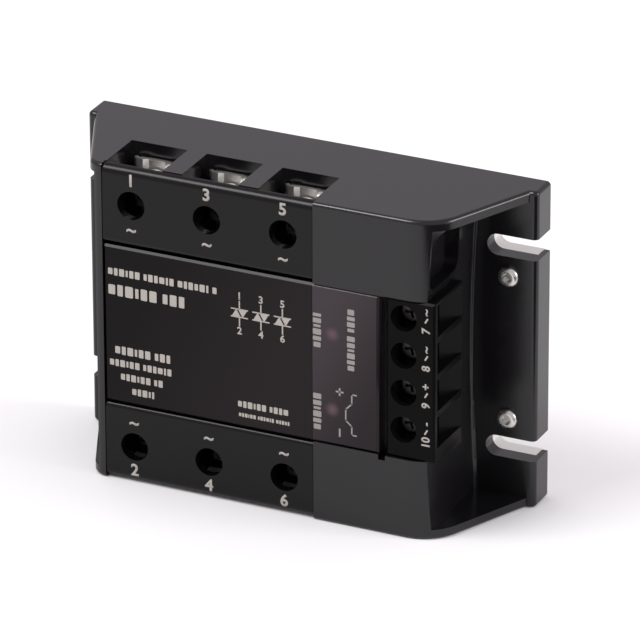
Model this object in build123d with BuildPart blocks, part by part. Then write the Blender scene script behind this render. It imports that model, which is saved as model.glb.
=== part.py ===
from build123d import *
import os

os.makedirs("parts", exist_ok=True)

# Three-phase solid state relay for panel mounting.
# Frame, in millimetres: X runs along the relay, Z is up, the mounting face is the plane Y = 0
# and the front looks towards -Y. The origin is the centre of the mounting face.
# A "level" is a distance in front of the mounting face, so a level of 10 is the plane Y = -10.

# ---------------------------------------------------------------- driving dimensions: outside
depth = 31.2
flange_thickness = 7.1
flange_reach = 12.7  # flange beyond the corner of the front face, at each end
shoulder = 1.8  # flat left on the flange where the slanted side starts
side_wall = 2.3  # upper and lower long walls, which run out over the flanges
left_corner = 4.0
right_corner = 10.0
flange_edge = 1.2
rim_edge = 0.9
left_wall = 2.8
left_end_inset = 0.8  # the end walls stand behind the corners of the front face
right_end_inset = 1.2
end_wall_bow = 1.2
end_wall = 1.8
end_fillet = 0.8  # where the end walls meet the flanges
end_void_drop = 2.6
end_void_corner = 2.5
end_void_depth = 3.6

# ---------------------------------------------------------------- driving dimensions: fixing
base_plate_thickness = 3.5
base_plate_proud = 0.3
skirt = 1.2
slot_width = 4.8
slot_length = 11.4
slot_spacing = 46.6
rivet_shank = 3.0
rivet_head = 4.7
rivet_head_height = 1.2
rivet_inset = 6.4
rivet_spacing = 33.0

# ---------------------------------------------------------------- driving dimensions: front
panel_thickness = 2.0  # covers, nameplate and window
panel_setback = 0.1  # they sit this far behind the front of the housing
front_wall = 2.0
cover_height = 18.34
side_ledge = 0.15
window_width = 15.2
groove_width = 1.6
groove_depth = 3.4
panel_gap = 0.3
panel_chamfer = 0.45
hinge_radius = 1.3
hinge_pin = 1.4
hinge_pin_reach = 1.2
running_clearance = 0.05

# ---------------------------------------------------------------- driving dimensions: power side
phases = 3
terminal_pitch = 17.67
terminal_inset = 8.5  # screw line to the long edge
bay_width = 13.15
bay_inner_wall = 2.7
driver_hole = 6.4
bar_depth = 14.1  # front face to the busbars
bar_thickness = 1.2
bar_width = 9.0
bar_overhang = 5.2
nut_width = 7.0
nut_thickness = 3.2
shelf_under_nut = 3.2
power_screw = 3.8
power_screw_length = 8.0
power_head = 7.6
power_head_height = 2.4
power_washer = 0.9
clamp_width = 11.2
clamp_length = 11.0
clamp_sheet = 0.8
cross_turn = 12.0
clamp_gap = 0.9
clamp_wave = 0.5

# ---------------------------------------------------------------- driving dimensions: control side
controls = 4
control_pitch = 8.53
control_margin = 1.2
control_shift = 1.15  # the row of control screws sits this far above the middle
control_width = 11.2
control_setback = 0.5
control_wall = 1.5
control_side = 1.2
control_bay = 7.2
control_hole = 5.9
control_hole_inset = 4.0
control_depth = 14.3
control_plate_thickness = 1.0
control_plate_width = 5.2
control_plate_reach = 13.4
ramp_run = 2.6
control_screw = 2.8
control_screw_length = 6.5
control_head = 5.4
control_head_height = 1.8
control_washer = 0.6
control_clamp_width = 6.0
control_clamp_lift = 0.8

# ---------------------------------------------------------------- driving dimensions: inside
cavity_margin = 1.4
board_depth = 9.6
board_thickness = 1.6
board_gap = 0.4
fit_gap = 0.1
solid_gap = 0.02
ceramic_width = 13.4
ceramic_thickness = 1.0
pad_width = 12.0
pad_thickness = 0.3
pad_split = 1.0
chip_size = 6.5
chip_thickness = 0.4
chip_line = 7.0
jumper_width = 2.4
jumper_thickness = 0.5
foot_length = 4.8
potting_fill = 5.4
led_diameter = 3.0

# ---------------------------------------------------------------- dependent sizes: along X
cover_width = (phases - 1) * terminal_pitch + bay_width + 2 * side_ledge
front_length = left_wall + cover_width + window_width + groove_width + control_width
length = front_length + 2 * flange_reach
half_length = length / 2
half_front = front_length / 2
cover_left = left_wall - half_front
cover_right = cover_left + cover_width
window_right = cover_right + window_width
control_left = window_right + groove_width
control_right = control_left + control_width
left_end = half_front - left_end_inset
right_end = half_front - right_end_inset
cavity_left = end_wall - left_end
cavity_right = right_end - end_wall_bow - end_wall
board_right = window_right - 2 * cavity_margin
cover_middle = (cover_left + cover_right) / 2
terminal_x = [cover_middle + (i - (phases - 1) / 2) * terminal_pitch for i in range(phases)]
control_x = control_left + control_hole_inset

# ---------------------------------------------------------------- dependent sizes: along Z
label_half = (controls * control_pitch + 2 * control_margin) / 2
half_height = label_half + cover_height
height = 2 * half_height
recess_half = half_height - side_wall
terminal_z = half_height - terminal_inset
bay_inner = label_half + bay_inner_wall
cavity_half = label_half - cavity_margin
control_z = [
    control_shift + ((controls - 1) / 2 - i) * control_pitch for i in range(controls)
]

# ---------------------------------------------------------------- dependent sizes: levels
front = depth
panel_front = front - panel_setback
panel_back = panel_front - panel_thickness
wall_back = panel_back - front_wall
bar_face = front - bar_depth
bar_back = bar_face - bar_thickness
nut_back = bar_back - nut_thickness
shelf_back = nut_back - shelf_under_nut
screw_well = nut_back - shelf_under_nut / 2
board_front = front - board_depth
board_back = board_front - board_thickness
control_face = front - control_setback
control_bay_front = control_face - control_wall
control_back = front - control_depth
end_void_back = control_back - 2
control_plate_front = board_front + control_plate_thickness
ceramic_front = base_plate_thickness + ceramic_thickness
pad_front = ceramic_front + pad_thickness
chip_front = pad_front + chip_thickness
potting_front = base_plate_thickness + potting_fill
clamp_middle = bar_face + clamp_gap + clamp_sheet / 2

# The covers turn about a line just behind their front face, beside the nameplate.
hinge_level = panel_front - hinge_radius
hinge_z = label_half + panel_gap + hinge_radius


def at(level):
    """The plane at a level, seen from the front: local x is X, local y is Z, out is to the front."""
    return Plane.XZ.offset(level)


def block(level_0, level_1, x_0, x_1, z_0, z_1, mode=Mode.ADD):
    """A rectangular block in the current part, between two levels and two corners."""
    with BuildSketch(at(level_0)) as outline:
        with Locations(((x_0 + x_1) / 2, (z_0 + z_1) / 2)):
            Rectangle(x_1 - x_0, z_1 - z_0)
    extrude(outline.sketch, amount=level_1 - level_0, mode=mode)


def rods(level_0, level_1, diameter, places, mode=Mode.ADD):
    """Round rods or holes in the current part, between two levels, at (x, z) places."""
    with BuildSketch(at(level_0)) as outline:
        with Locations(*places):
            Circle(diameter / 2)
    extrude(outline.sketch, amount=level_1 - level_0, mode=mode)


def mounting_slots(level_0, level_1):
    """The four slots, open at the ends of the flanges."""
    with BuildSketch(at(level_0)) as outline:
        with GridLocations(length, slot_spacing, 2, 2):
            SlotOverall(2 * slot_length, slot_width)
    extrude(outline.sketch, amount=level_1 - level_0, mode=Mode.SUBTRACT)


def save(piece, name):
    """Label a finished piece and write it."""
    piece.part.label = name
    export_step(piece.part, f"parts/{name}.step")


rivet_places = [
    (i * (half_length - rivet_inset), k * rivet_spacing / 2) for i in (-1, 1) for k in (-1, 1)
]
led_x = cover_right + 4.6
led_z = {"input_led": 7.4, "alarm_led": -10.0}

# ---------------------------------------------------------------- aluminium base plate
with BuildPart() as base_plate:
    with BuildSketch(at(0)):
        RectangleRounded(length - 2 * (skirt + fit_gap), height - 2 * (skirt + fit_gap), rim_edge)
    extrude(amount=base_plate_thickness)
    mounting_slots(0, base_plate_thickness)
    rods(0, base_plate_thickness, rivet_shank + 2 * fit_gap, rivet_places, Mode.SUBTRACT)
    rods(0, 1.1, rivet_head + 2 * fit_gap, rivet_places, Mode.SUBTRACT)
save(base_plate, "base_plate")

# ---------------------------------------------------------------- moulded housing
with BuildPart() as housing:
    with BuildSketch(Plane.XY.offset(-half_height)) as plan:
        with BuildLine():
            Polyline(
                (-half_length, -base_plate_proud),
                (-half_length, -flange_thickness),
                (shoulder - half_length, -flange_thickness),
                (-half_front, -depth),
                (half_front, -depth),
                (half_length - shoulder, -flange_thickness),
                (half_length, -flange_thickness),
                (half_length, -base_plate_proud),
                close=True,
            )
        make_face()
        fillet(plan.vertices().group_by(Axis.Y)[0].sort_by(Axis.X)[0], left_corner)
        fillet(plan.vertices().group_by(Axis.Y)[0].sort_by(Axis.X)[-1], right_corner)
        fillet(plan.vertices().group_by(Axis.X)[0].sort_by(Axis.Y)[0], flange_edge)
        fillet(plan.vertices().group_by(Axis.X)[-1].sort_by(Axis.Y)[0], flange_edge)
    extrude(amount=height)
    rims = faces().sort_by(Axis.Z)[0].edges() + faces().sort_by(Axis.Z)[-1].edges()
    fillet(rims.filter_by(lambda e: e.center().Y < -2 * base_plate_proud), rim_edge)

    # The ends are recessed between the long walls, down to the flanges.
    with BuildSketch(at(flange_thickness)):
        with BuildLine():
            ThreePointArc(
                (right_end, -recess_half), (right_end - end_wall_bow, 0), (right_end, recess_half)
            )
            Polyline(
                (right_end, recess_half),
                (half_length + 1, recess_half),
                (half_length + 1, -recess_half),
                (right_end, -recess_half),
            )
        make_face()
    extrude(amount=depth, mode=Mode.SUBTRACT)
    recess = (-recess_half, recess_half)
    block(flange_thickness, depth + 1, -half_length - 1, -left_end, *recess, Mode.SUBTRACT)
    feet = edges().filter_by(lambda e: abs(e.center().Y + flange_thickness) < 0.01)
    feet = feet.filter_by(lambda e: abs(e.center().X) < half_front and e.length > recess_half)
    fillet(feet, end_fillet)

    # Seats on the front: covers, nameplate with window, and the groove beside the control block.
    seat_left = cover_left - panel_gap / 2
    seat_right = cover_right + panel_gap / 2
    full_height = (-half_height - 1, half_height + 1)
    block(panel_back, front + 1, seat_left, seat_right, *full_height, Mode.SUBTRACT)
    label_height = (-label_half, label_half)
    block(panel_back, front + 1, seat_left, window_right + fit_gap, *label_height, Mode.SUBTRACT)
    block(
        front - groove_depth,
        front + 1,
        window_right,
        control_left,
        -label_half - control_margin,
        label_half,
        Mode.SUBTRACT,
    )
    block(
        control_back - fit_gap,
        front + 1,
        control_left - fit_gap,
        half_length,
        -label_half - fit_gap,
        label_half + fit_gap,
        Mode.SUBTRACT,
    )

    # Hollow behind the nameplate and, under the terminal shelves, right across the back.
    middle = (-cavity_half, cavity_half)
    board_space = (cavity_left, board_right + cavity_margin)
    block(base_plate_thickness, wall_back, *board_space, *middle, Mode.SUBTRACT)
    block(base_plate_thickness, shelf_back, cavity_left, cavity_right, *recess, Mode.SUBTRACT)
    block_space = (cover_right + front_wall, cavity_right)
    lower_space = (-recess_half, -label_half - end_wall)
    block(shelf_back, wall_back, *block_space, *lower_space, Mode.SUBTRACT)
    block(shelf_back, end_void_back - end_wall, *block_space, -cavity_half, recess_half, Mode.SUBTRACT)

    # A shallow void in the end of the upper block; the block is cored from behind up to it.
    void_levels = (end_void_back, front - end_wall)
    void_span = (label_half + end_wall, recess_half - end_void_drop)
    void_left = right_end - end_void_depth
    block_core = (block_space[0], void_left - end_wall)
    block(shelf_back, wall_back, *block_core, label_half + end_wall, recess_half, Mode.SUBTRACT)
    with BuildSketch(Plane.YZ.offset(void_left)):
        with Locations((-sum(void_levels) / 2, sum(void_span) / 2)):
            RectangleRounded(
                void_levels[1] - void_levels[0], void_span[1] - void_span[0], end_void_corner
            )
    extrude(amount=half_length - void_left, mode=Mode.SUBTRACT)
    # Pocket for the base plate, slots and rivet holes.
    with BuildSketch(at(0)):
        RectangleRounded(length - 2 * skirt, height - 2 * skirt, rim_edge)
    extrude(amount=base_plate_thickness, mode=Mode.SUBTRACT)
    mounting_slots(0, flange_thickness)
    rods(0, flange_thickness, rivet_shank + 2 * fit_gap, rivet_places, Mode.SUBTRACT)

    for side in (-1, 1):
        # Troughs and pin holes for the cover hinges.
        with BuildSketch(Plane.YZ.offset(seat_left)):
            with Locations((-hinge_level, side * hinge_z)):
                Circle(hinge_radius + panel_gap)
        extrude(amount=seat_right - seat_left, mode=Mode.SUBTRACT)
        with BuildSketch(Plane.YZ.offset(cover_left - hinge_pin_reach - fit_gap)):
            with Locations((-hinge_level, side * hinge_z)):
                Circle(hinge_pin / 2 + running_clearance)
        extrude(amount=cover_width + 2 * (hinge_pin_reach + fit_gap), mode=Mode.SUBTRACT)
        for x in terminal_x:
            # Wire bay, open at the long wall; busbar channel; nut pocket; well for the screw tip.
            bay = (x - bay_width / 2, x + bay_width / 2)
            channel = (x - bar_width / 2 - fit_gap, x + bar_width / 2 + fit_gap)
            outer_end = side * (terminal_z + bar_overhang + fit_gap)
            bay_span = sorted((side * bay_inner, side * (half_height + 1)))
            channel_span = sorted((side * (cavity_half - 1), outer_end))
            block(bar_face, front, *bay, *bay_span, Mode.SUBTRACT)
            block(bar_back, bar_face + fit_gap, *channel, *channel_span, Mode.SUBTRACT)
            with BuildSketch(at(nut_back)):
                with Locations((x, side * terminal_z)):
                    Rectangle(nut_width + 2 * fit_gap, nut_width + 2 * fit_gap)
            extrude(amount=nut_thickness, mode=Mode.SUBTRACT)
            rods(screw_well, nut_back, power_screw + 1, [(x, side * terminal_z)], Mode.SUBTRACT)

    # Light holes in front of the two lamps, and channels for the control terminal plates.
    led_places = [(led_x, z) for z in led_z.values()]
    rods(wall_back, panel_back, led_diameter + 2 * fit_gap, led_places, Mode.SUBTRACT)
    plate_channel = (board_front - fit_gap, control_plate_front + fit_gap, board_right, control_left)
    for z in control_z:
        half = control_plate_width / 2 + fit_gap
        block(*plate_channel, z - half, z + half, Mode.SUBTRACT)
save(housing, "housing")

# ---------------------------------------------------------------- rivets through flange and base plate
with BuildPart() as housing_rivets:
    rods(0, flange_thickness + rivet_head_height, rivet_shank, rivet_places)
    rods(flange_thickness + solid_gap, flange_thickness + rivet_head_height, rivet_head, rivet_places)
    fillet(faces().sort_by(Axis.Y)[0:4].edges(), rivet_head_height - 0.2)
    rods(flange_thickness + 0.4, front, rivet_head / 2 - 0.3, rivet_places, Mode.SUBTRACT)
    rods(0, 1.0, rivet_head, rivet_places)
save(housing_rivets, "housing_rivets")

# ---------------------------------------------------------------- nameplate and indicator window
label_span = (fit_gap - label_half, label_half - fit_gap)
with BuildPart() as nameplate:
    block(panel_back, panel_front, cover_left, cover_right - fit_gap, *label_span)
    chamfer(faces().sort_by(Axis.Y)[0].edges().sort_by(Axis.X)[:-1], panel_chamfer)
save(nameplate, "nameplate")

with BuildPart() as indicator_window:
    block(panel_back, panel_front, cover_right, window_right, *label_span)
    chamfer(faces().sort_by(Axis.Y)[0].edges().sort_by(Axis.X)[1:], panel_chamfer)
save(indicator_window, "indicator_window")

# ---------------------------------------------------------------- control terminal block
with BuildPart() as control_terminal_block:
    block(control_back, control_face, control_left, control_right - fit_gap, -label_half, label_half)
    chamfer(faces().sort_by(Axis.Y)[0].edges(), panel_chamfer)
    bay_left = control_left + control_side
    for z in control_z:
        bay = (z - control_bay / 2, z + control_bay / 2)
        block(control_back, control_bay_front, bay_left, control_right, *bay, Mode.SUBTRACT)
        half = control_plate_width / 2 + fit_gap
        channel = (board_front - fit_gap, control_plate_front + fit_gap)
        block(*channel, control_left, bay_left, z - half, z + half, Mode.SUBTRACT)
        rods(control_bay_front, control_face, control_hole, [(control_x, z)], Mode.SUBTRACT)
        # A ramp at the mouth of each bay leads the wire up to the terminal plate.
        with BuildSketch(Plane.XY.offset(z - control_bay / 2)):
            with BuildLine():
                Polyline(
                    (control_right - fit_gap, -control_back),
                    (control_right - fit_gap - ramp_run, -control_plate_front),
                    (control_right - fit_gap - 2 * ramp_run / 1.3, -control_plate_front),
                    (control_right - fit_gap - 2 * ramp_run / 1.3, -control_back),
                    close=True,
                )
            make_face()
        extrude(amount=control_bay)
save(control_terminal_block, "control_terminal_block")

with BuildPart() as control_terminal_plates:
    plate_left = control_left + control_side + 5.9 - control_plate_reach
    plate_right = control_right - 2 * ramp_run / 1.3 - 3 * fit_gap
    for z in control_z:
        half = control_plate_width / 2
        levels = (board_front + solid_gap, control_plate_front)
        block(*levels, plate_left, plate_right, z - half, z + half)
        rods(*levels, control_screw + 2 * running_clearance, [(control_x, z)], Mode.SUBTRACT)
save(control_terminal_plates, "control_terminal_plates")

# ---------------------------------------------------------------- busbars and nuts of the power terminals
foot_outer = cavity_half - fit_gap - bar_thickness
for side, name in ((1, "line_busbars"), (-1, "load_busbars")):
    with BuildPart() as busbars:
        for x in terminal_x:
            with BuildSketch(Plane.YZ.offset(x - bar_width / 2)):
                with BuildLine():
                    Polyline(
                        (-bar_face, side * (terminal_z + bar_overhang)),
                        (-bar_face, side * (foot_outer - bar_thickness)),
                        (-pad_front - bar_thickness, side * (foot_outer - bar_thickness)),
                        (-pad_front - bar_thickness, side * (foot_outer - foot_length)),
                        (-pad_front, side * (foot_outer - foot_length)),
                        (-pad_front, side * foot_outer),
                        (-bar_back, side * foot_outer),
                        (-bar_back, side * (terminal_z + bar_overhang)),
                        close=True,
                    )
                make_face()
            extrude(amount=bar_width)
        places = [(x, side * terminal_z) for x in terminal_x]
        rods(bar_back, bar_face, power_screw + 4 * fit_gap, places, Mode.SUBTRACT)
    save(busbars, name)

with BuildPart() as terminal_nuts:
    places = [(x, side * terminal_z) for side in (-1, 1) for x in terminal_x]
    with BuildSketch(at(nut_back)):
        with Locations(*places):
            RectangleRounded(nut_width, nut_width, 2 * fit_gap)
    extrude(amount=nut_thickness - solid_gap)
    rods(nut_back, bar_back, power_screw + 2 * running_clearance, places, Mode.SUBTRACT)
save(terminal_nuts, "terminal_nuts")

# ---------------------------------------------------------------- power stage on the base plate
with BuildPart() as ceramic_substrates:
    for x in terminal_x:
        tile = (x - ceramic_width / 2, x + ceramic_width / 2, -cavity_half, cavity_half)
        block(base_plate_thickness, ceramic_front, *tile)
save(ceramic_substrates, "ceramic_substrates")

with BuildPart() as copper_pads:
    for x in terminal_x:
        for side in (-1, 1):
            span = sorted((side * pad_split, side * (foot_outer + fit_gap)))
            block(ceramic_front, pad_front, x - pad_width / 2, x + pad_width / 2, *span)
save(copper_pads, "copper_pads")

with BuildPart() as thyristor_chips:
    for x in terminal_x:
        for side in (-1, 1):
            chip = (side * chip_line - chip_size / 2, side * chip_line + chip_size / 2)
            block(pad_front, chip_front, x - chip_size / 2, x + chip_size / 2, *chip)
save(thyristor_chips, "thyristor_chips")

with BuildPart() as chip_jumpers:
    jumper_front = chip_front + jumper_thickness
    foot = 2 * pad_split
    for x in terminal_x:
        for side in (-1, 1):
            jumper_x = x - jumper_width / 2 - side * (jumper_width / 2 + 2 * fit_gap)
            with BuildSketch(Plane.YZ.offset(jumper_x)):
                with BuildLine():
                    Polyline(
                        (-chip_front, side * (chip_line + foot / 2)),
                        (-jumper_front, side * (chip_line + foot / 2)),
                        (-jumper_front, -side * (pad_split + foot)),
                        (-pad_front, -side * (pad_split + foot)),
                        (-pad_front, -side * (pad_split + fit_gap)),
                        (-chip_front, -side * (pad_split + fit_gap)),
                        close=True,
                    )
                make_face()
            extrude(amount=jumper_width)
save(chip_jumpers, "chip_jumpers")

# Each gate lead stands on the far corner of its chip and is soldered through the board.
lead_places = [
    (x + side * (chip_size / 2 - 0.7), side * (chip_line + chip_size / 2 - 0.7))
    for x in terminal_x
    for side in (-1, 1)
]
lead_diameter = 0.8
with BuildPart() as gate_leads:
    rods(chip_front, board_front + 0.6, lead_diameter, lead_places)
save(gate_leads, "gate_leads")

# ---------------------------------------------------------------- circuit board and what it carries
sensor_place = (board_right - 7, 0)
with BuildPart() as printed_circuit_board:
    edge = cavity_half - board_gap
    block(board_back, board_front, cavity_left + board_gap, board_right - board_gap, -edge, edge)
    rods(board_back, board_front, lead_diameter + 2 * running_clearance, lead_places, Mode.SUBTRACT)
save(printed_circuit_board, "printed_circuit_board")

for name, z in led_z.items():
    with BuildPart() as led:
        rods(board_front, panel_back - 4 * fit_gap, led_diameter, [(led_x, z)])
        fillet(faces().sort_by(Axis.Y)[0].edges(), led_diameter / 2 - fit_gap)
        rods(board_front, board_front + 1, led_diameter + 0.8, [(led_x, z)])
    save(led, name)

with BuildPart() as opto_couplers:
    for x in terminal_x:
        block(board_front, board_front + 3.4, x - 4.4, x + 4.4, -3.2, 3.2)
        chamfer(faces().sort_by(Axis.Y)[0:1].edges(), 0.3)
save(opto_couplers, "opto_couplers")

with BuildPart() as snubber_capacitors:
    for x in terminal_x:
        block(board_back - 8.5, board_back, x - 6.5, x + 6.5, -3.0, 3.0)
save(snubber_capacitors, "snubber_capacitors")

with BuildPart() as snubber_resistors:
    for x in terminal_x:
        with BuildSketch(Plane.YZ.offset(x - 4.5)):
            with Locations((-board_front - 1.9, -chip_line - 6)):
                Circle(1.7)
        extrude(amount=9)
        fillet(edges().filter_by(GeomType.CIRCLE).sort_by(Axis.X)[-1], 0.6)
        wire_z = -chip_line - 6
        for wire_x in (x - 5.1, x + 5.1):
            block(board_front, board_front + 1.9, wire_x - 0.7, wire_x + 0.7, wire_z - 0.3, wire_z + 0.3)
save(snubber_resistors, "snubber_resistors")

with BuildPart() as bridge_rectifier:
    block(board_front, board_front + 2.6, board_right - 9, board_right - 2.6, -2.6, 2.0)
save(bridge_rectifier, "bridge_rectifier")

with BuildPart() as input_capacitor:
    rods(board_back - 8, board_back, 8, [(board_right - 6, 9)])
    fillet(faces().sort_by(Axis.Y)[-1].edges(), 0.8)
save(input_capacitor, "input_capacitor")

with BuildPart() as alarm_transistor:
    rods(board_front, board_front + 4.6, 4.8, [(board_right - 8, 12.4)])
    split(bisect_by=Plane.XY.offset(11), keep=Keep.TOP)
save(alarm_transistor, "alarm_transistor")

with BuildPart() as temperature_sensor:
    sensor_x, sensor_z = sensor_place
    sensor_front = base_plate_thickness + 3.2
    block(base_plate_thickness, sensor_front, sensor_x - 3, sensor_x + 3, sensor_z - 2, sensor_z + 2)
    rods(sensor_front, board_back, 0.6, [(sensor_x - 1.6, sensor_z), (sensor_x + 1.6, sensor_z)])
save(temperature_sensor, "temperature_sensor")

# ---------------------------------------------------------------- potting over the power stage
with BuildPart() as potting_compound:
    block(
        base_plate_thickness,
        potting_front,
        cavity_left + fit_gap,
        cavity_right - fit_gap,
        fit_gap - recess_half,
        recess_half - fit_gap,
    )
    potted = [ceramic_substrates, copper_pads, thyristor_chips, chip_jumpers, gate_leads, temperature_sensor]
    for piece in potted:
        add(piece.part, mode=Mode.SUBTRACT)
    for side in (-1, 1):
        foot = sorted((side * (foot_outer - foot_length), side * foot_outer))
        leg = sorted((side * (foot_outer - bar_thickness), side * foot_outer))
        for x in terminal_x:
            bar = (x - bar_width / 2, x + bar_width / 2)
            block(pad_front, pad_front + bar_thickness, *bar, *foot, Mode.SUBTRACT)
            block(pad_front, potting_front, *bar, *leg, Mode.SUBTRACT)
save(potting_compound, "potting_compound")

# ---------------------------------------------------------------- hinged terminal covers
for side, name in ((1, "upper_cover"), (-1, "lower_cover")):
    outer_edge = half_height - 2 * fit_gap
    with BuildPart() as cover:
        span = sorted((side * hinge_z, side * outer_edge))
        block(panel_back, panel_front, cover_left, cover_right, *span)
        front_edges = edges().filter_by(Axis.X).group_by(Axis.Y)[0].sort_by(Axis.Z)
        fillet(front_edges[-1] if side > 0 else front_edges[0], panel_thickness - fit_gap)
        with BuildSketch(Plane.YZ.offset(cover_left)):
            with Locations((-hinge_level, side * hinge_z)):
                Circle(hinge_radius)
        extrude(amount=cover_width)
        with BuildSketch(Plane.YZ.offset(cover_left - hinge_pin_reach)):
            with Locations((-hinge_level, side * hinge_z)):
                Circle(hinge_pin / 2)
        extrude(amount=cover_width + 2 * hinge_pin_reach)
        holes = [(x, side * terminal_z) for x in terminal_x]
        rods(panel_back - 1, front, driver_hole, holes, Mode.SUBTRACT)
    save(cover, name)


# ---------------------------------------------------------------- terminal screws and clamps
def terminal_screw(name, x, z, seat, shank, shank_length, head, head_height, washer):
    """A cross-head screw with a captive spring washer whose lower face is at the seat level."""
    under_head = seat + washer
    with BuildPart() as screw:
        rods(under_head - shank_length, under_head + solid_gap, shank, [(x, z)])
        rods(under_head + solid_gap, under_head + head_height, head, [(x, z)])
        fillet(faces().sort_by(Axis.Y)[0].edges(), head_height / 3)
        with BuildSketch(at(under_head + head_height / 2)):
            with Locations((x, z)):
                Rectangle(head * 0.56, head * 0.13, rotation=cross_turn)
                Rectangle(head * 0.13, head * 0.56, rotation=cross_turn)
        extrude(amount=head_height, mode=Mode.SUBTRACT)
        # The washer is a second solid, split like a spring washer.
        with BuildSketch(at(seat + solid_gap)):
            with Locations((x, z)):
                Circle(head / 2 - fit_gap)
                Circle(shank / 2 + fit_gap, mode=Mode.SUBTRACT)
            with Locations((x + head / 2, z)):
                Rectangle(head, 4 * fit_gap, rotation=cross_turn, mode=Mode.SUBTRACT)
        extrude(amount=washer - solid_gap)
    save(screw, name)


clamp_seat = clamp_middle + (clamp_wave + clamp_sheet) / 2
for side, name in ((1, "line"), (-1, "load")):
    for i, x in enumerate(terminal_x, 1):
        z = side * terminal_z
        terminal_screw(
            f"{name}_screw_{i}",
            x,
            z,
            clamp_seat,
            power_screw,
            power_screw_length,
            power_head,
            power_head_height,
            power_washer,
        )
        # The clamp is pressed from sheet: an arch at each side of the screw holds one wire.
        with BuildPart() as clamp:
            edge = (clamp_width - clamp_sheet) / 2
            with BuildSketch(Plane.XY.offset(z - clamp_length / 2)):
                with BuildLine():
                    Polyline(
                        (x - edge, clamp_gap / 2 - clamp_middle),
                        (x - edge + clamp_sheet, -clamp_wave / 2 - clamp_middle),
                        (x - edge + 2.5 * clamp_sheet, -clamp_wave / 2 - clamp_middle),
                        (x - edge + 4 * clamp_sheet, clamp_wave / 2 - clamp_middle),
                        (x + edge - 4 * clamp_sheet, clamp_wave / 2 - clamp_middle),
                        (x + edge - 2.5 * clamp_sheet, -clamp_wave / 2 - clamp_middle),
                        (x + edge - clamp_sheet, -clamp_wave / 2 - clamp_middle),
                        (x + edge, clamp_gap / 2 - clamp_middle),
                    )
                trace(line_width=clamp_sheet)
            extrude(amount=clamp_length)
            rods(bar_face, front, power_screw + 3 * fit_gap, [(x, z)], Mode.SUBTRACT)
        save(clamp, f"{name}_clamp_{i}")

control_clamp_back = control_plate_front + control_clamp_lift
for i, z in enumerate(control_z, 1):
    terminal_screw(
        f"control_screw_{i}",
        control_x,
        z,
        control_clamp_back + clamp_sheet,
        control_screw,
        control_screw_length,
        control_head,
        control_head_height,
        control_washer,
    )
    with BuildPart() as clamp:
        half = control_clamp_width / 2
        run = (control_x - 0.75 * half, control_x + half)
        block(control_clamp_back, control_clamp_back + clamp_sheet, *run, z - half, z + half)
        rods(control_clamp_back, front, control_screw + 3 * fit_gap, [(control_x, z)], Mode.SUBTRACT)
        # Lips at both sides keep the strands under the clamp.
        for lip in (z - half, z + half - clamp_sheet / 2):
            block(control_clamp_back - 0.7, control_clamp_back, *run, lip, lip + clamp_sheet / 2)
    save(clamp, f"control_clamp_{i}")

print("length", round(length, 2), "height", round(height, 2), "depth", depth)
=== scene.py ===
# %% [markdown]
# # A three-phase solid state relay
#
# The relay is a black plastic box on a slotted metal plate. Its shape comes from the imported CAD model, which
# is loaded as a fixed frame and never changed. This lesson gives every part its finish, prints the terminal
# numbers and symbols on the front, and sets up a plain studio around it.

# %% Load the frame
import math

import bmesh
import bpy
from mathutils import Matrix, Vector


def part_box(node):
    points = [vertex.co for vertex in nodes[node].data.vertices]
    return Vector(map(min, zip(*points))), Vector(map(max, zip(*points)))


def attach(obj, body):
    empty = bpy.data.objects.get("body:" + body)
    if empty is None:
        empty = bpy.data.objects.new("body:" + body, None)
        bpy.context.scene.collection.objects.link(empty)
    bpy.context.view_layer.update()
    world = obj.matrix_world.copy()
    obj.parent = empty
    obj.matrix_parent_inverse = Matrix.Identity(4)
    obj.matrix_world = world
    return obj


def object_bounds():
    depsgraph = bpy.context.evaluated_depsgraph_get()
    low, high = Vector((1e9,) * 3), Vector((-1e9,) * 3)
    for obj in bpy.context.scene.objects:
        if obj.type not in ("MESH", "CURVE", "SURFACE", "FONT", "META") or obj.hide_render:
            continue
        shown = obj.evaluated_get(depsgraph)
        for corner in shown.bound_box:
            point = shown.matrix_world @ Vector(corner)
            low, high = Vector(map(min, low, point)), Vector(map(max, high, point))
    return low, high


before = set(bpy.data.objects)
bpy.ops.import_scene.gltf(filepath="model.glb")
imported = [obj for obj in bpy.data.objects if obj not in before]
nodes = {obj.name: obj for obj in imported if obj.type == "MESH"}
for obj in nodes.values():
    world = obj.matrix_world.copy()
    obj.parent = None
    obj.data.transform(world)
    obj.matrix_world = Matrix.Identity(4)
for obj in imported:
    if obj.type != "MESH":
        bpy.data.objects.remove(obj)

MM = 0.001
cad_low, cad_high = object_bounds()
print("nodes", len(nodes), "size in mm", [round(s / MM, 1) for s in cad_high - cad_low])

# %% [markdown]
# ## Camera
#
# A long lens far away keeps the edges of a small product almost parallel, as catalogue pictures do. The
# camera is placed by two angles and a distance from a point near the middle of the box, so it is easy to
# move round the object later.

# %% Place the camera
CAMERA_AZIMUTH, CAMERA_ELEVATION, CAMERA_ROLL = math.radians(25.17), math.radians(24.62), math.radians(-0.18)
CAMERA_DISTANCE = 1.4808
SENSOR_WIDTH = 36
FOCAL_LENGTH = 393.75

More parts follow.
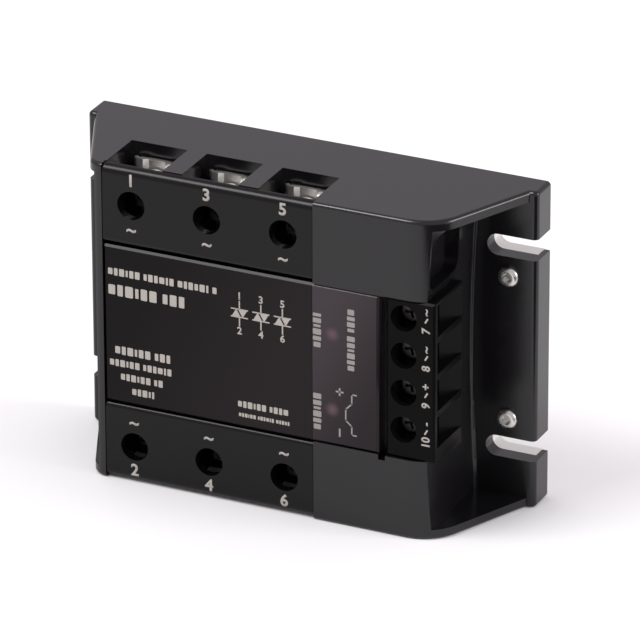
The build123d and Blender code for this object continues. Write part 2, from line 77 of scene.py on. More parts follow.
middle = (cad_low + cad_high) / 2
aim = middle + Vector((6.5, -0.4, 2.5)) * MM
backwards = Vector(
    (
        math.sin(CAMERA_AZIMUTH) * math.cos(CAMERA_ELEVATION),
        -math.cos(CAMERA_AZIMUTH) * math.cos(CAMERA_ELEVATION),
        math.sin(CAMERA_ELEVATION),
    )
)
lens = bpy.data.cameras.new("catalogue_lens")
lens.sensor_width = SENSOR_WIDTH
lens.lens = FOCAL_LENGTH
lens.clip_start, lens.clip_end = 0.05, 20
camera = bpy.data.objects.new("catalogue_camera", lens)
camera.location = aim + backwards * CAMERA_DISTANCE
facing = (-backwards).to_track_quat("-Z", "Y").to_matrix().to_4x4()
camera.matrix_world = Matrix.Translation(camera.location) @ facing @ Matrix.Rotation(CAMERA_ROLL, 4, "Z")
bpy.context.scene.collection.objects.link(camera)
bpy.context.scene.camera = camera
print("camera at", [round(c, 3) for c in camera.matrix_world.translation])

# %% [markdown]
# ## Studio
#
# Black plastic is drawn by what it mirrors, so the surroundings matter more than the lamps: a pale floor and
# a pale sky give every face a soft grey sheen. One soft lamp, above on the left, draws the bright rims. The
# other, low on the right, lights the flanges.

# %% Light the studio
SKY_COLOUR = (0.99, 0.94, 0.985, 1)
SKY_STRENGTH = 0.72

world = bpy.data.worlds.new("pale_studio")
world.use_nodes = True
world.node_tree.nodes["Background"].inputs["Color"].default_value = SKY_COLOUR
world.node_tree.nodes["Background"].inputs["Strength"].default_value = SKY_STRENGTH
bpy.context.scene.world = world
bpy.context.scene.view_settings.view_transform = "Standard"


def softbox(name, place, size, power):
    """A square area lamp that looks at the middle of the relay."""
    lamp = bpy.data.lights.new(name, "AREA")
    lamp.size = size
    lamp.energy = power
    aimed = (middle - place).to_track_quat("-Z", "Y").to_matrix().to_4x4()
    box = bpy.data.objects.new(name, lamp)
    box.matrix_world = Matrix.Translation(place) @ aimed
    bpy.context.scene.collection.objects.link(box)


softbox("top_softbox", Vector((-0.38, -0.42, 0.85)), 0.4, 5.5)
softbox("right_softbox", Vector((0.9, 0.1, 0.35)), 0.4, 4.2)

# %% [markdown]
# The floor is one matt pale sheet, wide enough to reach past the picture. Under such even light it comes out
# white, with only a soft shadow where the relay stands.
#
# A dark card lies on it to the right, outside the picture. Only reflections show it: the rounded corner of
# the housing mirrors it and reads darker than the flat front, so the curve can be seen.


# %% Lay the floor and the dark card
def studio_sheet(name, width, depth, centre, tone, shine):
    """A flat matt sheet that belongs to the studio and not to the relay."""
    flat = bmesh.new()
    bmesh.ops.create_grid(flat, x_segments=1, y_segments=1, size=0.5)
    bmesh.ops.scale(flat, verts=flat.verts, vec=(width, depth, 1))
    bmesh.ops.translate(flat, verts=flat.verts, vec=centre)
    data = bpy.data.meshes.new(name)
    flat.to_mesh(data)
    flat.free()
    sheet = bpy.data.objects.new(name, data)
    bpy.context.scene.collection.objects.link(sheet)
    paint = bpy.data.materials.new(name + "_paint")
    paint.use_nodes = True
    surface = paint.node_tree.nodes["Principled BSDF"]
    surface.inputs["Base Color"].default_value = (tone, tone, tone, 1)
    surface.inputs["Roughness"].default_value = 0.9
    surface.inputs["Specular IOR Level"].default_value = shine
    data.materials.append(paint)
    return sheet


FLOOR_WIDTH = 6.0
CARD_WIDTH, CARD_DEPTH, CARD_LIFT = 0.44, 0.6, 0.001
CARD_X, CARD_Y = 0.31, -0.34

studio_sheet("pale_floor", FLOOR_WIDTH, FLOOR_WIDTH, (0, 0, cad_low.z), 0.92, 0.1)
card = studio_sheet("dark_card", CARD_WIDTH, CARD_DEPTH, (CARD_X, CARD_Y, cad_low.z + CARD_LIFT), 0.02, 0.0)
card.visible_camera = False
card.visible_diffuse = False
card.visible_shadow = False

# %% [markdown]
# ## Effects that several finishes share
#
# A node group is built once and placed in many materials with other values. The first group is the skin of a
# moulded part: a fine grain that scatters the shine a little, and slow clouds that change the gloss. Its
# patterns read Object coordinates, so they are fixed to the part and as large as the real thing, in metres.


# %% Helpers for node groups
def effect(name, inputs, outputs):
    """An empty shader node group with named inputs (name, value) and outputs (name, kind)."""
    tree = bpy.data.node_groups.new(name, "ShaderNodeTree")
    for label, value in inputs:
        tree.interface.new_socket(label, in_out="INPUT", socket_type="NodeSocketFloat").default_value = value
    for label, kind in outputs:
        tree.interface.new_socket(label, in_out="OUTPUT", socket_type=kind)
    return tree, tree.nodes.new("NodeGroupInput"), tree.nodes.new("NodeGroupOutput")


def add_node(tree, kind, **values):
    """A node with its plain properties set, such as operation="MULTIPLY"."""
    node = tree.nodes.new(kind)
    for key, value in values.items():
        setattr(node, key, value)
    return node


# %% The skin of a moulded part
moulded_skin, skin_in, skin_out = effect(
    "moulded_skin",
    [("Grain", 4000.0), ("Depth", 0.00001), ("Clouds", 60.0), ("Gloss", 0.3), ("Gloss Change", 0.1)],
    [("Normal", "NodeSocketVector"), ("Roughness", "NodeSocketFloat"), ("Clouds", "NodeSocketFloat")],
)
place = add_node(moulded_skin, "ShaderNodeTexCoord")
grain = add_node(moulded_skin, "ShaderNodeTexNoise")
grain.inputs["Detail"].default_value = 2
relief = add_node(moulded_skin, "ShaderNodeBump")
relief.inputs["Strength"].default_value = 1
clouds = add_node(moulded_skin, "ShaderNodeTexNoise")
clouds.inputs["Detail"].default_value = 4
swing = add_node(moulded_skin, "ShaderNodeMath", operation="SUBTRACT")
swing.inputs[1].default_value = 0.5
scaled = add_node(moulded_skin, "ShaderNodeMath", operation="MULTIPLY")
total = add_node(moulded_skin, "ShaderNodeMath", operation="ADD", use_clamp=True)
join = moulded_skin.links.new
join(place.outputs["Object"], grain.inputs["Vector"])
join(place.outputs["Object"], clouds.inputs["Vector"])
join(skin_in.outputs["Grain"], grain.inputs["Scale"])
join(skin_in.outputs["Clouds"], clouds.inputs["Scale"])
join(skin_in.outputs["Depth"], relief.inputs["Distance"])
join(grain.outputs["Fac"], relief.inputs["Height"])
join(clouds.outputs["Fac"], swing.inputs[0])
join(swing.outputs["Value"], scaled.inputs[0])
join(skin_in.outputs["Gloss Change"], scaled.inputs[1])
join(scaled.outputs["Value"], total.inputs[0])
join(skin_in.outputs["Gloss"], total.inputs[1])
join(relief.outputs["Normal"], skin_out.inputs["Normal"])
join(total.outputs["Value"], skin_out.inputs["Roughness"])
join(clouds.outputs["Fac"], skin_out.inputs["Clouds"])
print("effect", moulded_skin.name, "nodes", len(moulded_skin.nodes))

# %% [markdown]
# Rolled and milled metal carries fine parallel lines. The second group stretches a noise pattern along one
# axis, which gives lines that are long one way and very narrow the other. The same lines cut the shine and
# press a little relief into the surface.

# %% The lines of worked metal
worked_lines, lines_in, lines_out = effect(
    "worked_lines",
    [("Along", 40.0), ("Across", 6000.0), ("Depth", 0.000004), ("Gloss", 0.3), ("Gloss Change", 0.2)],
    [("Normal", "NodeSocketVector"), ("Roughness", "NodeSocketFloat"), ("Lines", "NodeSocketFloat")],
)
place = add_node(worked_lines, "ShaderNodeTexCoord")
stretch = add_node(worked_lines, "ShaderNodeCombineXYZ")
stretched = add_node(worked_lines, "ShaderNodeVectorMath", operation="MULTIPLY")
lines = add_node(worked_lines, "ShaderNodeTexNoise")
lines.inputs["Scale"].default_value = 1
lines.inputs["Detail"].default_value = 3
relief = add_node(worked_lines, "ShaderNodeBump")
relief.inputs["Strength"].default_value = 1
scaled = add_node(worked_lines, "ShaderNodeMath", operation="MULTIPLY")
total = add_node(worked_lines, "ShaderNodeMath", operation="ADD", use_clamp=True)
join = worked_lines.links.new
join(lines_in.outputs["Along"], stretch.inputs["X"])
join(lines_in.outputs["Across"], stretch.inputs["Y"])
join(lines_in.outputs["Across"], stretch.inputs["Z"])
join(place.outputs["Object"], stretched.inputs[0])
join(stretch.outputs["Vector"], stretched.inputs[1])
join(stretched.outputs["Vector"], lines.inputs["Vector"])
join(lines_in.outputs["Depth"], relief.inputs["Distance"])
join(lines.outputs["Fac"], relief.inputs["Height"])
join(lines.outputs["Fac"], scaled.inputs[0])
join(lines_in.outputs["Gloss Change"], scaled.inputs[1])
join(scaled.outputs["Value"], total.inputs[0])
join(lines_in.outputs["Gloss"], total.inputs[1])
join(relief.outputs["Normal"], lines_out.inputs["Normal"])
join(total.outputs["Value"], lines_out.inputs["Roughness"])
join(lines.outputs["Fac"], lines_out.inputs["Lines"])
print("effect", worked_lines.name, "nodes", len(worked_lines.nodes))

# %% [markdown]
# ## Finishes
#
# Every finish is one Principled surface. Values that are the same all over are set on the surface itself, and
# only what changes over the part comes from an effect.


# %% Helpers for finishes
def finish(name, effect_group, effect_values, dark, light, blend_output, **surface_values):
    """A material whose colour runs between two tones by an effect, with the effect's relief and gloss."""
    made = bpy.data.materials.new(name)
    made.use_nodes = True
    tree = made.node_tree
    surface = tree.nodes["Principled BSDF"]
    skin = add_node(tree, "ShaderNodeGroup", node_tree=effect_group)
    for label, value in effect_values.items():
        skin.inputs[label].default_value = value
    tone = add_node(tree, "ShaderNodeMix", data_type="RGBA")
    tone.inputs["A"].default_value = (*dark, 1)
    tone.inputs["B"].default_value = (*light, 1)
    tree.links.new(skin.outputs[blend_output], tone.inputs["Factor"])
    tree.links.new(tone.outputs["Result"], surface.inputs["Base Color"])
    tree.links.new(skin.outputs["Normal"], surface.inputs["Normal"])
    tree.links.new(skin.outputs["Roughness"], surface.inputs["Roughness"])
    for label, value in surface_values.items():
        surface.inputs[label.replace("_", " ")].default_value = value
    return made


def moulding(name, dark, light, gloss, gloss_change=0.08, grain=4000, depth=0.000006, **surface_values):
    """A moulded plastic: two close tones in slow clouds, over a fine grain."""
    values = {"Grain": grain, "Depth": depth, "Clouds": 55, "Gloss": gloss, "Gloss Change": gloss_change}
    surface_values.setdefault("Specular_IOR_Level", 0.5)
    return finish(name, moulded_skin, values, dark, light, "Clouds", **surface_values)


def metal(name, dark, light, gloss, gloss_change=0.15, along=60, across=5000, depth=0.000003):
    """A worked metal: two close tones in fine parallel lines."""
    values = {"Along": along, "Across": across, "Depth": depth, "Gloss": gloss, "Gloss Change": gloss_change}
    return finish(name, worked_lines, values, dark, light, "Lines", Metallic=1.0)


def put_on(material, *names):
    """Give CAD nodes a finish, in place of the plain one that they came with."""
    for name in names:
        mesh = nodes[name].data
        mesh.materials.clear()
        mesh.materials.append(material)


def family(start):
    """The names of the nodes that start with a word, such as every line_screw."""
    return sorted(name for name in nodes if name.startswith(start))


# %% [markdown]
# The housing, the covers and the control block are black thermoplastic, each from its own mould. The housing
# is the glossiest, the covers are a little duller, and the control block is dullest. Black parts differ far
# more in what they mirror than in colour, so the strength of the reflection is what sets them apart.

# %% Black plastics
housing_black = moulding(
    "housing_black", (0.0048, 0.0042, 0.0050), (0.0072, 0.0064, 0.0074), 0.2, Specular_IOR_Level=0.44
)
cover_black = moulding(
    "cover_black", (0.0024, 0.0018, 0.0024), (0.0036, 0.003, 0.0036), 0.24, Specular_IOR_Level=0.22
)
terminal_black = moulding(
    "terminal_black", (0.0024, 0.002, 0.0024), (0.0036, 0.0032, 0.0036), 0.32, Specular_IOR_Level=0.06
)
put_on(housing_black, "housing")
put_on(cover_black, "upper_cover", "lower_cover")
put_on(terminal_black, "control_terminal_block")

# %% [markdown]
# The nameplate and the window are smoked plastic. A slow change of tone from one side to the other is painted
# sheen, a painted reflection, and each of the two lamps behind the window makes a faint round glow. The change
# and the glow are one effect that reads the place on the plate; two finishes use it.

# %% Painted sheen across each plate and two round glows
# the change of tone is painted sheen: a painted reflection, lighter on one side of each plate
PAINTED_SHEEN_LEAN = -0.55  # how far the change leans over with height
LAMP_GLOW = 2.1 * MM  # radius of a glow

painted_sheen_and_glow, sheen_glow_in, sheen_glow_out = effect(
    "painted_sheen_and_glow",
    [
        ("Left", 0.0),
        ("Right", 1.0),
        ("Lamp X", 0.0),
        ("Lamp Z 1", 0.0),
        ("Lamp Z 2", 0.0),
        ("Lamp Size", LAMP_GLOW),
    ],
    [("Across", "NodeSocketFloat"), ("Glow", "NodeSocketFloat")],
)
place = add_node(painted_sheen_and_glow, "ShaderNodeTexCoord")
parts = add_node(painted_sheen_and_glow, "ShaderNodeSeparateXYZ")
fall = add_node(painted_sheen_and_glow, "ShaderNodeMath", operation="MULTIPLY_ADD")
fall.inputs[1].default_value = PAINTED_SHEEN_LEAN
across = add_node(painted_sheen_and_glow, "ShaderNodeMapRange", interpolation_type="SMOOTHSTEP")
join = painted_sheen_and_glow.links.new
join(place.outputs["Object"], parts.inputs["Vector"])
join(parts.outputs["Z"], fall.inputs[0])
join(parts.outputs["X"], fall.inputs[2])
join(fall.outputs["Value"], across.inputs["Value"])
join(sheen_glow_in.outputs["Left"], across.inputs["From Min"])
join(sheen_glow_in.outputs["Right"], across.inputs["From Max"])
join(across.outputs["Result"], sheen_glow_out.inputs["Across"])
glows = []
for lamp in ("Lamp Z 1", "Lamp Z 2"):
    centre = add_node(painted_sheen_and_glow, "ShaderNodeCombineXYZ")
    flat_place = add_node(painted_sheen_and_glow, "ShaderNodeCombineXYZ")
    reach = add_node(painted_sheen_and_glow, "ShaderNodeVectorMath", operation="DISTANCE")
    glow = add_node(painted_sheen_and_glow, "ShaderNodeMapRange", interpolation_type="SMOOTHSTEP")
    glow.inputs["To Min"].default_value = 1
    glow.inputs["To Max"].default_value = 0
    join(sheen_glow_in.outputs["Lamp X"], centre.inputs["X"])
    join(sheen_glow_in.outputs[lamp], centre.inputs["Z"])
    join(parts.outputs["X"], flat_place.inputs["X"])
    join(parts.outputs["Z"], flat_place.inputs["Z"])
    join(centre.outputs["Vector"], reach.inputs[0])
    join(flat_place.outputs["Vector"], reach.inputs[1])
    join(reach.outputs["Value"], glow.inputs["Value"])
    join(sheen_glow_in.outputs["Lamp Size"], glow.inputs["From Max"])
    glows.append(glow)
both = add_node(painted_sheen_and_glow, "ShaderNodeMath", operation="MAXIMUM")
join(glows[0].outputs["Result"], both.inputs[0])
join(glows[1].outputs["Result"], both.inputs[1])
join(both.outputs["Value"], sheen_glow_out.inputs["Glow"])
print("effect", painted_sheen_and_glow.name, "nodes", len(painted_sheen_and_glow.nodes))

# %% [markdown]
# The finish takes the width of the plate and the places of the lamps from the CAD parts, so the tone fits the
# plate and each glow sits over its lamp. Only the tones are given: the nameplate is nearly black and the
# window is lighter, warm and grey. The change of tone across each plate is painted sheen, and the window's
# lighter tone is partly painted reflection.


# %% The nameplate and the window
def smoked(name, node, lean_room, left_tone, right_tone, glow_tone, roughness, specular):
    """A smoked plate: its tone runs from left_tone to right_tone as painted sheen, and glow_tone shows at the
    lamps.

    lean_room widens the change at both sides, as a share of the plate's half height.
    """
    material = bpy.data.materials.new(name)
    material.use_nodes = True
    tree = material.node_tree
    surface = tree.nodes["Principled BSDF"]
    surface.inputs["Roughness"].default_value = roughness
    surface.inputs["Specular IOR Level"].default_value = specular
    change = add_node(tree, "ShaderNodeGroup", node_tree=painted_sheen_and_glow)
    low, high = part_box(node)
    change.inputs["Left"].default_value = low.x - lean_room * high.z
    change.inputs["Right"].default_value = high.x + lean_room * high.z
    for lamp, socket in (("input_led", "Lamp Z 1"), ("alarm_led", "Lamp Z 2")):
        lamp_low, lamp_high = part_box(lamp)
        change.inputs["Lamp X"].default_value = (lamp_low.x + lamp_high.x) / 2
        change.inputs[socket].default_value = (lamp_low.z + lamp_high.z) / 2
    change.inputs["Lamp Size"].default_value = LAMP_GLOW
    tone = add_node(tree, "ShaderNodeMix", data_type="RGBA")
    tone.inputs["A"].default_value = (*left_tone, 1)
    tone.inputs["B"].default_value = (*right_tone, 1)
    lit = add_node(tree, "ShaderNodeMix", data_type="RGBA")
    lit.inputs["B"].default_value = (*glow_tone, 1)
    tree.links.new(change.outputs["Across"], tone.inputs["Factor"])
    tree.links.new(tone.outputs["Result"], lit.inputs["A"])
    tree.links.new(change.outputs["Glow"], lit.inputs["Factor"])
    tree.links.new(lit.outputs["Result"], surface.inputs["Base Color"])
    return material


# painted sheen: the nameplate's lighter right side is a painted reflection
nameplate_with_painted_sheen = smoked(
    "nameplate_with_painted_sheen",
    "nameplate",
    lean_room=0.1,
    left_tone=(0.0010, 0.0003, 0.0009),
    right_tone=(0.0115, 0.0085, 0.009),
    glow_tone=(0.0115, 0.0085, 0.009),
    roughness=0.15,
    specular=0.14,
)
# painted sheen: the window's lighter left side and part of its lighter tone are a painted reflection
window_with_painted_sheen = smoked(
    "window_with_painted_sheen",
    "indicator_window",
    lean_room=0.4,
    left_tone=(0.045, 0.035, 0.04),
    right_tone=(0.014, 0.0095, 0.0115),
    glow_tone=(0.105, 0.068, 0.078),
    roughness=0.1,
    specular=0.18,
)
put_on(nameplate_with_painted_sheen, "nameplate")
put_on(window_with_painted_sheen, "indicator_window")

# %% [markdown]
# The metals are told apart by colour and by how sharp their shine is. The base plate is rolled aluminium with
# long lines along it. The power screws and the clamps are nickel plated. The screws under the control block
# sit deep in their holes and are bright metal like the others. Their colour is painted dark as painted shade,
# so the holes stay dark.

# %% Metals
base_aluminium = metal("base_aluminium", (0.72, 0.71, 0.68), (0.86, 0.85, 0.82), 0.28)
rivet_steel = metal("rivet_steel", (0.55, 0.54, 0.51), (0.7, 0.69, 0.66), 0.2, along=900, across=900)
screw_nickel = metal("screw_nickel", (0.62, 0.6, 0.56), (0.78, 0.76, 0.72), 0.16)
# painted shade: the control screws are painted dark for the shade deep in their holes
control_screw_painted_shade = metal("control_screw_painted_shade", (0.075, 0.07, 0.07), (0.12, 0.115, 0.11), 0.3)
clamp_nickel = metal("clamp_nickel", (0.8, 0.79, 0.76), (0.92, 0.91, 0.88), 0.32)
nut_zinc = metal("nut_zinc", (0.52, 0.53, 0.55), (0.66, 0.67, 0.68), 0.3)
tinned_copper = metal("tinned_copper", (0.6, 0.59, 0.57), (0.76, 0.75, 0.72), 0.3)
bare_copper = metal("bare_copper", (0.74, 0.36, 0.22), (0.86, 0.48, 0.32), 0.3)
can_aluminium = metal("can_aluminium", (0.5, 0.5, 0.52), (0.62, 0.62, 0.64), 0.3)
silicon = metal("silicon", (0.24, 0.25, 0.29), (0.32, 0.33, 0.38), 0.12)
put_on(base_aluminium, "base_plate")
put_on(rivet_steel, "housing_rivets")
put_on(screw_nickel, *family("line_screw"), *family("load_screw"))
put_on(control_screw_painted_shade, *family("control_screw"))
put_on(clamp_nickel, *family("line_clamp"), *family("load_clamp"), *family("control_clamp"))
put_on(nut_zinc, "terminal_nuts")
put_on(tinned_copper, "line_busbars", "load_busbars", "control_terminal_plates")
put_on(bare_copper, "copper_pads", "chip_jumpers", "gate_leads")
put_on(can_aluminium, "input_capacitor")
put_on(silicon, "thyristor_chips")

# %% [markdown]
# These parts are inside the closed box and show only when it is opened or cut, so plain finishes in the usual
# colours are enough: white ceramic, green board, black packages, a yellow film capacitor and blue resistors.

# %% Inner pieces
alumina_white = moulding("alumina_white", (0.78, 0.77, 0.73), (0.88, 0.87, 0.84), 0.45)
board_green = moulding("board_green", (0.01, 0.075, 0.03), (0.015, 0.11, 0.045), 0.3)
package_black = moulding("package_black", (0.018, 0.018, 0.018), (0.03, 0.03, 0.03), 0.5)
capacitor_yellow = moulding("capacitor_yellow", (0.55, 0.36, 0.05), (0.66, 0.45, 0.08), 0.35)
resistor_blue = moulding("resistor_blue", (0.2, 0.36, 0.42), (0.28, 0.45, 0.5), 0.4)
potting_grey = moulding("potting_grey", (0.09, 0.09, 0.095), (0.13, 0.13, 0.135), 0.35)
lamp_green = moulding("lamp_green", (0.1, 0.3, 0.08), (0.14, 0.38, 0.1), 0.15)
lamp_red = moulding("lamp_red", (0.4, 0.03, 0.02), (0.5, 0.05, 0.03), 0.15)
put_on(alumina_white, "ceramic_substrates")
put_on(board_green, "printed_circuit_board")
put_on(package_black, "opto_couplers", "bridge_rectifier", "alarm_transistor", "temperature_sensor")
put_on(capacitor_yellow, "snubber_capacitors")
put_on(resistor_blue, "snubber_resistors")
put_on(potting_grey, "potting_compound")
put_on(lamp_green, "input_led")
put_on(lamp_red, "alarm_led")
print("finishes", len(bpy.data.materials))

# %% [markdown]
# ## Printing
#
# The marks on the front are screen-printed ink, a few hundredths of a millimetre thick. Each mark starts as a
# flat shape drawn at the origin, facing up: a numeral from the built-in font, a bar cut from a grid, or a
# triangle. It is then stood up to face the front and set in its place. All marks of one part become one
# thin closed mesh, so they are easy to recolour.

# %% Helpers for flat marks
INK = 0.02 * MM
stand_up = Matrix.Rotation(math.radians(90), 4, "X")


def on_front(x, z, level_y, turn=0.0):
    """Where a flat mark goes: at x and z on the plane Y = level_y, turned anticlockwise in degrees."""
    return Matrix.Translation((x, level_y - INK, z)) @ stand_up @ Matrix.Rotation(math.radians(turn), 4, "Z")


def add_flat(marks, shape, where):
    """Move a flat shape to its place and add it to the marks."""
    bmesh.ops.transform(shape, matrix=where, verts=shape.verts)
    done = bpy.data.meshes.new("mark")
    shape.to_mesh(done)
    shape.free()
    marks.from_mesh(done)
    bpy.data.meshes.remove(done)


BOLDER = 0.028  # how far an outline grows, as a share of the size


def numeral(marks, text, size, where):
    """Add a bold numeral or sign from the built-in font, centred."""
    letter = bpy.data.curves.new("numeral", "FONT")
    letter.body = text
    letter.size = size
    letter.offset = BOLDER * size
    letter.align_x, letter.align_y = "CENTER", "CENTER"
    letter.resolution_u = 3
    holder = bpy.data.objects.new("numeral", letter)
    bpy.context.scene.collection.objects.link(holder)
    depsgraph = bpy.context.evaluated_depsgraph_get()
    outline = bpy.data.meshes.new_from_object(holder.evaluated_get(depsgraph))
    bpy.data.objects.remove(holder)
    shape = bmesh.new()
    shape.from_mesh(outline)
    bpy.data.meshes.remove(outline)
    add_flat(marks, shape, where)


BAR_ROUNDING = 0.15  # share of the narrow side


def bar(marks, width, height, where):
    """Add a bar with rounded corners, centred."""
    shape = bmesh.new()
    bmesh.ops.create_grid(shape, x_segments=1, y_segments=1, size=0.5)
    bmesh.ops.scale(shape, verts=shape.verts, vec=(width, height, 1))
    bmesh.ops.bevel(
        shape,
        geom=shape.verts[:],
        offset=BAR_ROUNDING * min(width, height),
        offset_type="OFFSET",
        segments=2,
        profile=0.5,
        affect="VERTICES",
        material=-1,
    )
    add_flat(marks, shape, where)


def triangle(marks, radius, where):
    """Add a filled triangle with one corner up."""
    shape = bmesh.new()
    bmesh.ops.create_circle(shape, cap_ends=True, radius=radius, segments=3)
    add_flat(marks, shape, where)


def print_marks(name, marks, body, ink):
    """Give flat marks the thickness of ink and fix them to a body."""
    bmesh.ops.remove_doubles(marks, verts=marks.verts, dist=0.001 * MM)
    for face in marks.faces:
        face.normal_update()
        if face.normal.y > 0:
            face.normal_flip()
    bmesh.ops.solidify(marks, geom=marks.faces[:], thickness=INK)
    bmesh.ops.recalc_face_normals(marks, faces=marks.faces)
    data = bpy.data.meshes.new(name)
    marks.to_mesh(data)
    marks.free()
    data.materials.append(ink)
    piece = bpy.data.objects.new(name, data)
    bpy.context.scene.collection.objects.link(piece)
    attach(piece, body)
    print(name, "faces", len(data.polygons))


# %% [markdown]
# Two inks are used: a cream one on the black parts and a greyer one on the window, where the ink lies on the
# smoked plastic. Both are matt, with a finer grain than the plastic round them.

# %% Ink
ink_cream = moulding("ink_cream", (0.36, 0.335, 0.3), (0.45, 0.42, 0.38), 0.5, grain=9000)
ink_grey = moulding("ink_grey", (0.25, 0.235, 0.22), (0.31, 0.29, 0.275), 0.5, grain=9000)

# %% [markdown]
# Each terminal carries a number on the side of the long edge and a wave for alternating current on the side
# of the nameplate. Both stand in for the longer terminal codes of a real relay.

# %% Numbers on the terminal covers
NUMBER_SIZE = 3.8 * MM
NUMBER_SHIFT = 5.6 * MM  # from the middle of the screw

for cover, screw_row, numbers, outward in (
    ("upper_cover", "line_screw", "135", 1),
    ("lower_cover", "load_screw", "246", -1),
):
    front_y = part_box(cover)[0].y
    marks = bmesh.new()
    for screw, number in zip(family(screw_row), numbers):
        low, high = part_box(screw)
        centre = (low + high) / 2
        shift = outward * NUMBER_SHIFT
        numeral(marks, number, NUMBER_SIZE, on_front(centre.x, centre.z + shift, front_y))
        numeral(marks, "~", NUMBER_SIZE, on_front(centre.x, centre.z - shift, front_y))
    print_marks(cover + "_numbers", marks, cover, ink_cream)

# %% [markdown]
# The control block has its holes close together, so its marks stand beside them and read upwards: a number, a
# small slash, and a wave, a plus or a minus. The places come from the screws behind the holes.

# %% Numbers beside the control terminals
CONTROL_SIZE = 2.6 * MM
LABEL_SHIFT = 5.2 * MM  # to the right of the screw
NUMBER_DROP, SLASH_RISE, SIGN_RISE = 2.0 * MM, 0.4 * MM, 2.3 * MM
SLASH_LENGTH, SLASH_WIDTH = 1.3 * MM, 0.35 * MM

front_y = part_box("control_terminal_block")[0].y
marks = bmesh.new()
for screw, number, sign in zip(family("control_screw"), ("7", "8", "9", "10"), "~~+-"):
    low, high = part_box(screw)
    centre = (low + high) / 2
    label_x = centre.x + LABEL_SHIFT
    numeral(marks, number, CONTROL_SIZE, on_front(label_x, centre.z - NUMBER_DROP, front_y, 90))
    bar(marks, SLASH_LENGTH, SLASH_WIDTH, on_front(label_x, centre.z + SLASH_RISE, front_y, 60))
    numeral(marks, sign, CONTROL_SIZE, on_front(label_x, centre.z + SIGN_RISE, front_y, 90))
print_marks("control_numbers", marks, "relay", ink_cream)

# %% [markdown]
# The nameplate of a real relay names the maker, the model and the ratings. None of that is copied here. A
# line of words is drawn as a row of plain blocks, as a page layout shows text that isn't written yet. Only
# the triangles of the three switching elements and their terminal numbers are real signs.


# %% Rows of blocks in place of words
BLOCK_WIDTHS = (0.62, 0.5, 0.72, 0.3, 0.58, 0.66, 0.44)  # shares of the row's height, in turn
LOW_BLOCK = 0.86  # every third block is this much lower
BLOCK_GAP, WORD_GAP, SMALLEST_BLOCK = 0.2, 0.35, 0.25  # shares of the row's height
BLOCKS_IN_A_WORD = 6


def word_row(marks, x, z, width, height, front_y, turn=0.0):
    """A row of blocks in words, from (x, z) to the right, or upwards if turned by 90; in millimetres."""
    along, step = 0.0, 0
    while along + SMALLEST_BLOCK * height < width:
        block_width = min(BLOCK_WIDTHS[step % len(BLOCK_WIDTHS)] * height, width - along)
        block_height = height * (1.0 if step % 3 else LOW_BLOCK)
        block_middle = along + block_width / 2
        if turn:
            where = on_front(x * MM, (z + block_middle) * MM, front_y, turn)
        else:
            where = on_front((x + block_middle) * MM, z * MM, front_y)
        bar(marks, block_width * MM, block_height * MM, where)
        along += block_width + BLOCK_GAP * height
        step += 1
        if step % BLOCKS_IN_A_WORD == 0:
            along += WORD_GAP * height


# %% [markdown]
# Each of the three switching elements has the sign of a pair of thyristors back to back: two triangles, one
# up and one down, between two bars. A lead and a terminal number stand above and below.


# %% The switching element's sign
SIGN_Z = 8.1  # middle of the sign, in millimetres, like the values below
SIGN_NUMBER = 2.3
LEAD_WIDTH, LEAD_LENGTH = 0.3, 2.0
END_BAR_WIDTH, END_BAR_HEIGHT = 4.0, 0.28
TRIANGLE_RADIUS, TRIANGLE_SIDE_STEP, TRIANGLE_DROP = 1.15, 0.75, 0.2


def switch_sign(marks, x, upper_number, lower_number, front_y):
    """Draw one switching element at x."""

    def beside(right, up, turn=0.0):
        return on_front((x + right) * MM, (SIGN_Z + up) * MM, front_y, turn)

    numeral(marks, upper_number, SIGN_NUMBER * MM, beside(0, 3.9))
    bar(marks, LEAD_WIDTH * MM, LEAD_LENGTH * MM, beside(0, 1.9))
    triangle(marks, TRIANGLE_RADIUS * MM, beside(-TRIANGLE_SIDE_STEP, -TRIANGLE_DROP))
    triangle(marks, TRIANGLE_RADIUS * MM, beside(TRIANGLE_SIDE_STEP, TRIANGLE_DROP, 180))
    bar(marks, END_BAR_WIDTH * MM, END_BAR_HEIGHT * MM, beside(0, 0.9))
    bar(marks, END_BAR_WIDTH * MM, END_BAR_HEIGHT * MM, beside(0, -0.9))
    bar(marks, LEAD_WIDTH * MM, LEAD_LENGTH * MM, beside(0, -2.0))
    numeral(marks, lower_number, SIGN_NUMBER * MM, beside(0, -4.1))


# %% [markdown]
# The nameplate holds two heading rows, four centred rows of ratings, the three signs, and a small row of two
# lines at the lower right. All places are in millimetres from the middle of the relay.

# %% Marks on the nameplate
HEADING_LEFT = -35.9
RATINGS_MIDDLE, RATINGS_TOP, RATINGS_STEP = -28.0, -5.9, 3.06
RATING_ROWS = ((13.0, 1.9), (15.6, 1.6), (10.5, 1.6), (5.2, 1.6))  # width and height
FIRST_SIGN_X, SIGN_STEP = -5.1, 5.0

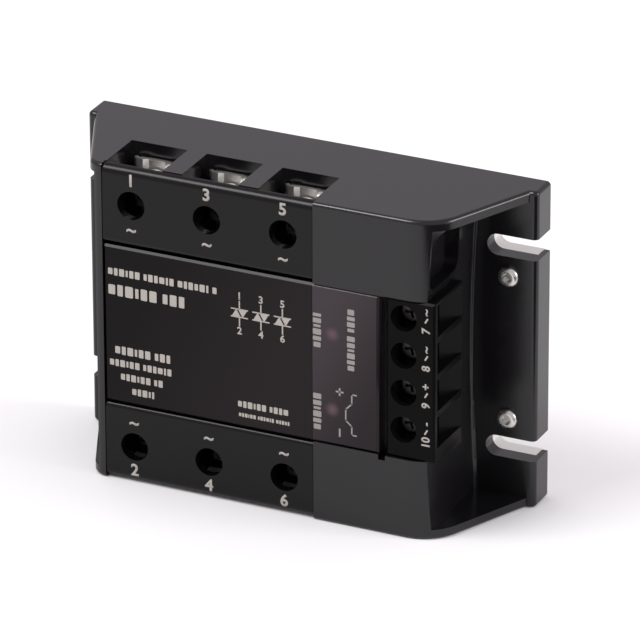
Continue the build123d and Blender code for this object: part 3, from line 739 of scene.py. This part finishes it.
front_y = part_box("nameplate")[0].y
marks = bmesh.new()
word_row(marks, HEADING_LEFT, 12.2, 25.5, 1.7, front_y)
word_row(marks, HEADING_LEFT, 8.0, 18.3, 2.6, front_y)
for row, (row_width, row_height) in enumerate(RATING_ROWS):
    row_left = RATINGS_MIDDLE - row_width / 2
    word_row(marks, row_left, RATINGS_TOP - RATINGS_STEP * row, row_width, row_height, front_y)
word_row(marks, -5.6, -12.9, 12.2, 1.5, front_y)
word_row(marks, -5.4, -15.4, 11.8, 0.9, front_y)
for column, (upper_number, lower_number) in enumerate(("12", "34", "56")):
    switch_sign(marks, FIRST_SIGN_X + SIGN_STEP * column, upper_number, lower_number, front_y)
print_marks("nameplate_marks", marks, "relay", ink_cream)

# %% [markdown]
# On the window three rows read upwards: two short ones left of the lamps and a longer one to the right.
# The stepped line at the lower right stands for the alarm output, with a plus and a minus for its two ends.


# %% Marks on the window
ALARM_LINE, SIGN_LINE = 0.32, 0.4  # widths of the strokes
ALARM_OUT, ALARM_MIDDLE, ALARM_IN = 21.9, 20.9, 19.5  # the three places across where the line runs
ALARM_PATH = (
    (ALARM_OUT, -5.7),
    (ALARM_MIDDLE, -5.7),
    (ALARM_MIDDLE, -7.9),
    (ALARM_IN, -9.3),
    (ALARM_IN, -11.9),
    (ALARM_MIDDLE, -13.1),
    (ALARM_MIDDLE, -15.1),
    (ALARM_OUT, -15.1),
)


def stroke(marks, start, end, width, front_y):
    """A bar from one (x, z) point to another, in millimetres."""
    run_x, run_z = end[0] - start[0], end[1] - start[1]
    turn = math.degrees(math.atan2(run_z, run_x))
    centre = on_front((start[0] + end[0]) / 2 * MM, (start[1] + end[1]) / 2 * MM, front_y, turn)
    bar(marks, (math.hypot(run_x, run_z) + width) * MM, width * MM, centre)


front_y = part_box("indicator_window")[0].y
marks = bmesh.new()
word_row(marks, 12.9, 3.8, 7.8, 1.9, front_y, 90)
word_row(marks, 12.9, -15.2, 9.3, 1.9, front_y, 90)
word_row(marks, 20.7, -0.2, 14.6, 1.8, front_y, 90)
for start, end in zip(ALARM_PATH, ALARM_PATH[1:]):
    stroke(marks, start, end, ALARM_LINE, front_y)
stroke(marks, (17.4, -5.6), (18.8, -5.6), SIGN_LINE, front_y)
stroke(marks, (18.1, -6.3), (18.1, -4.9), SIGN_LINE, front_y)
stroke(marks, (18.1, -15.8), (18.1, -14.3), SIGN_LINE, front_y)
print_marks("window_marks", marks, "relay", ink_grey)
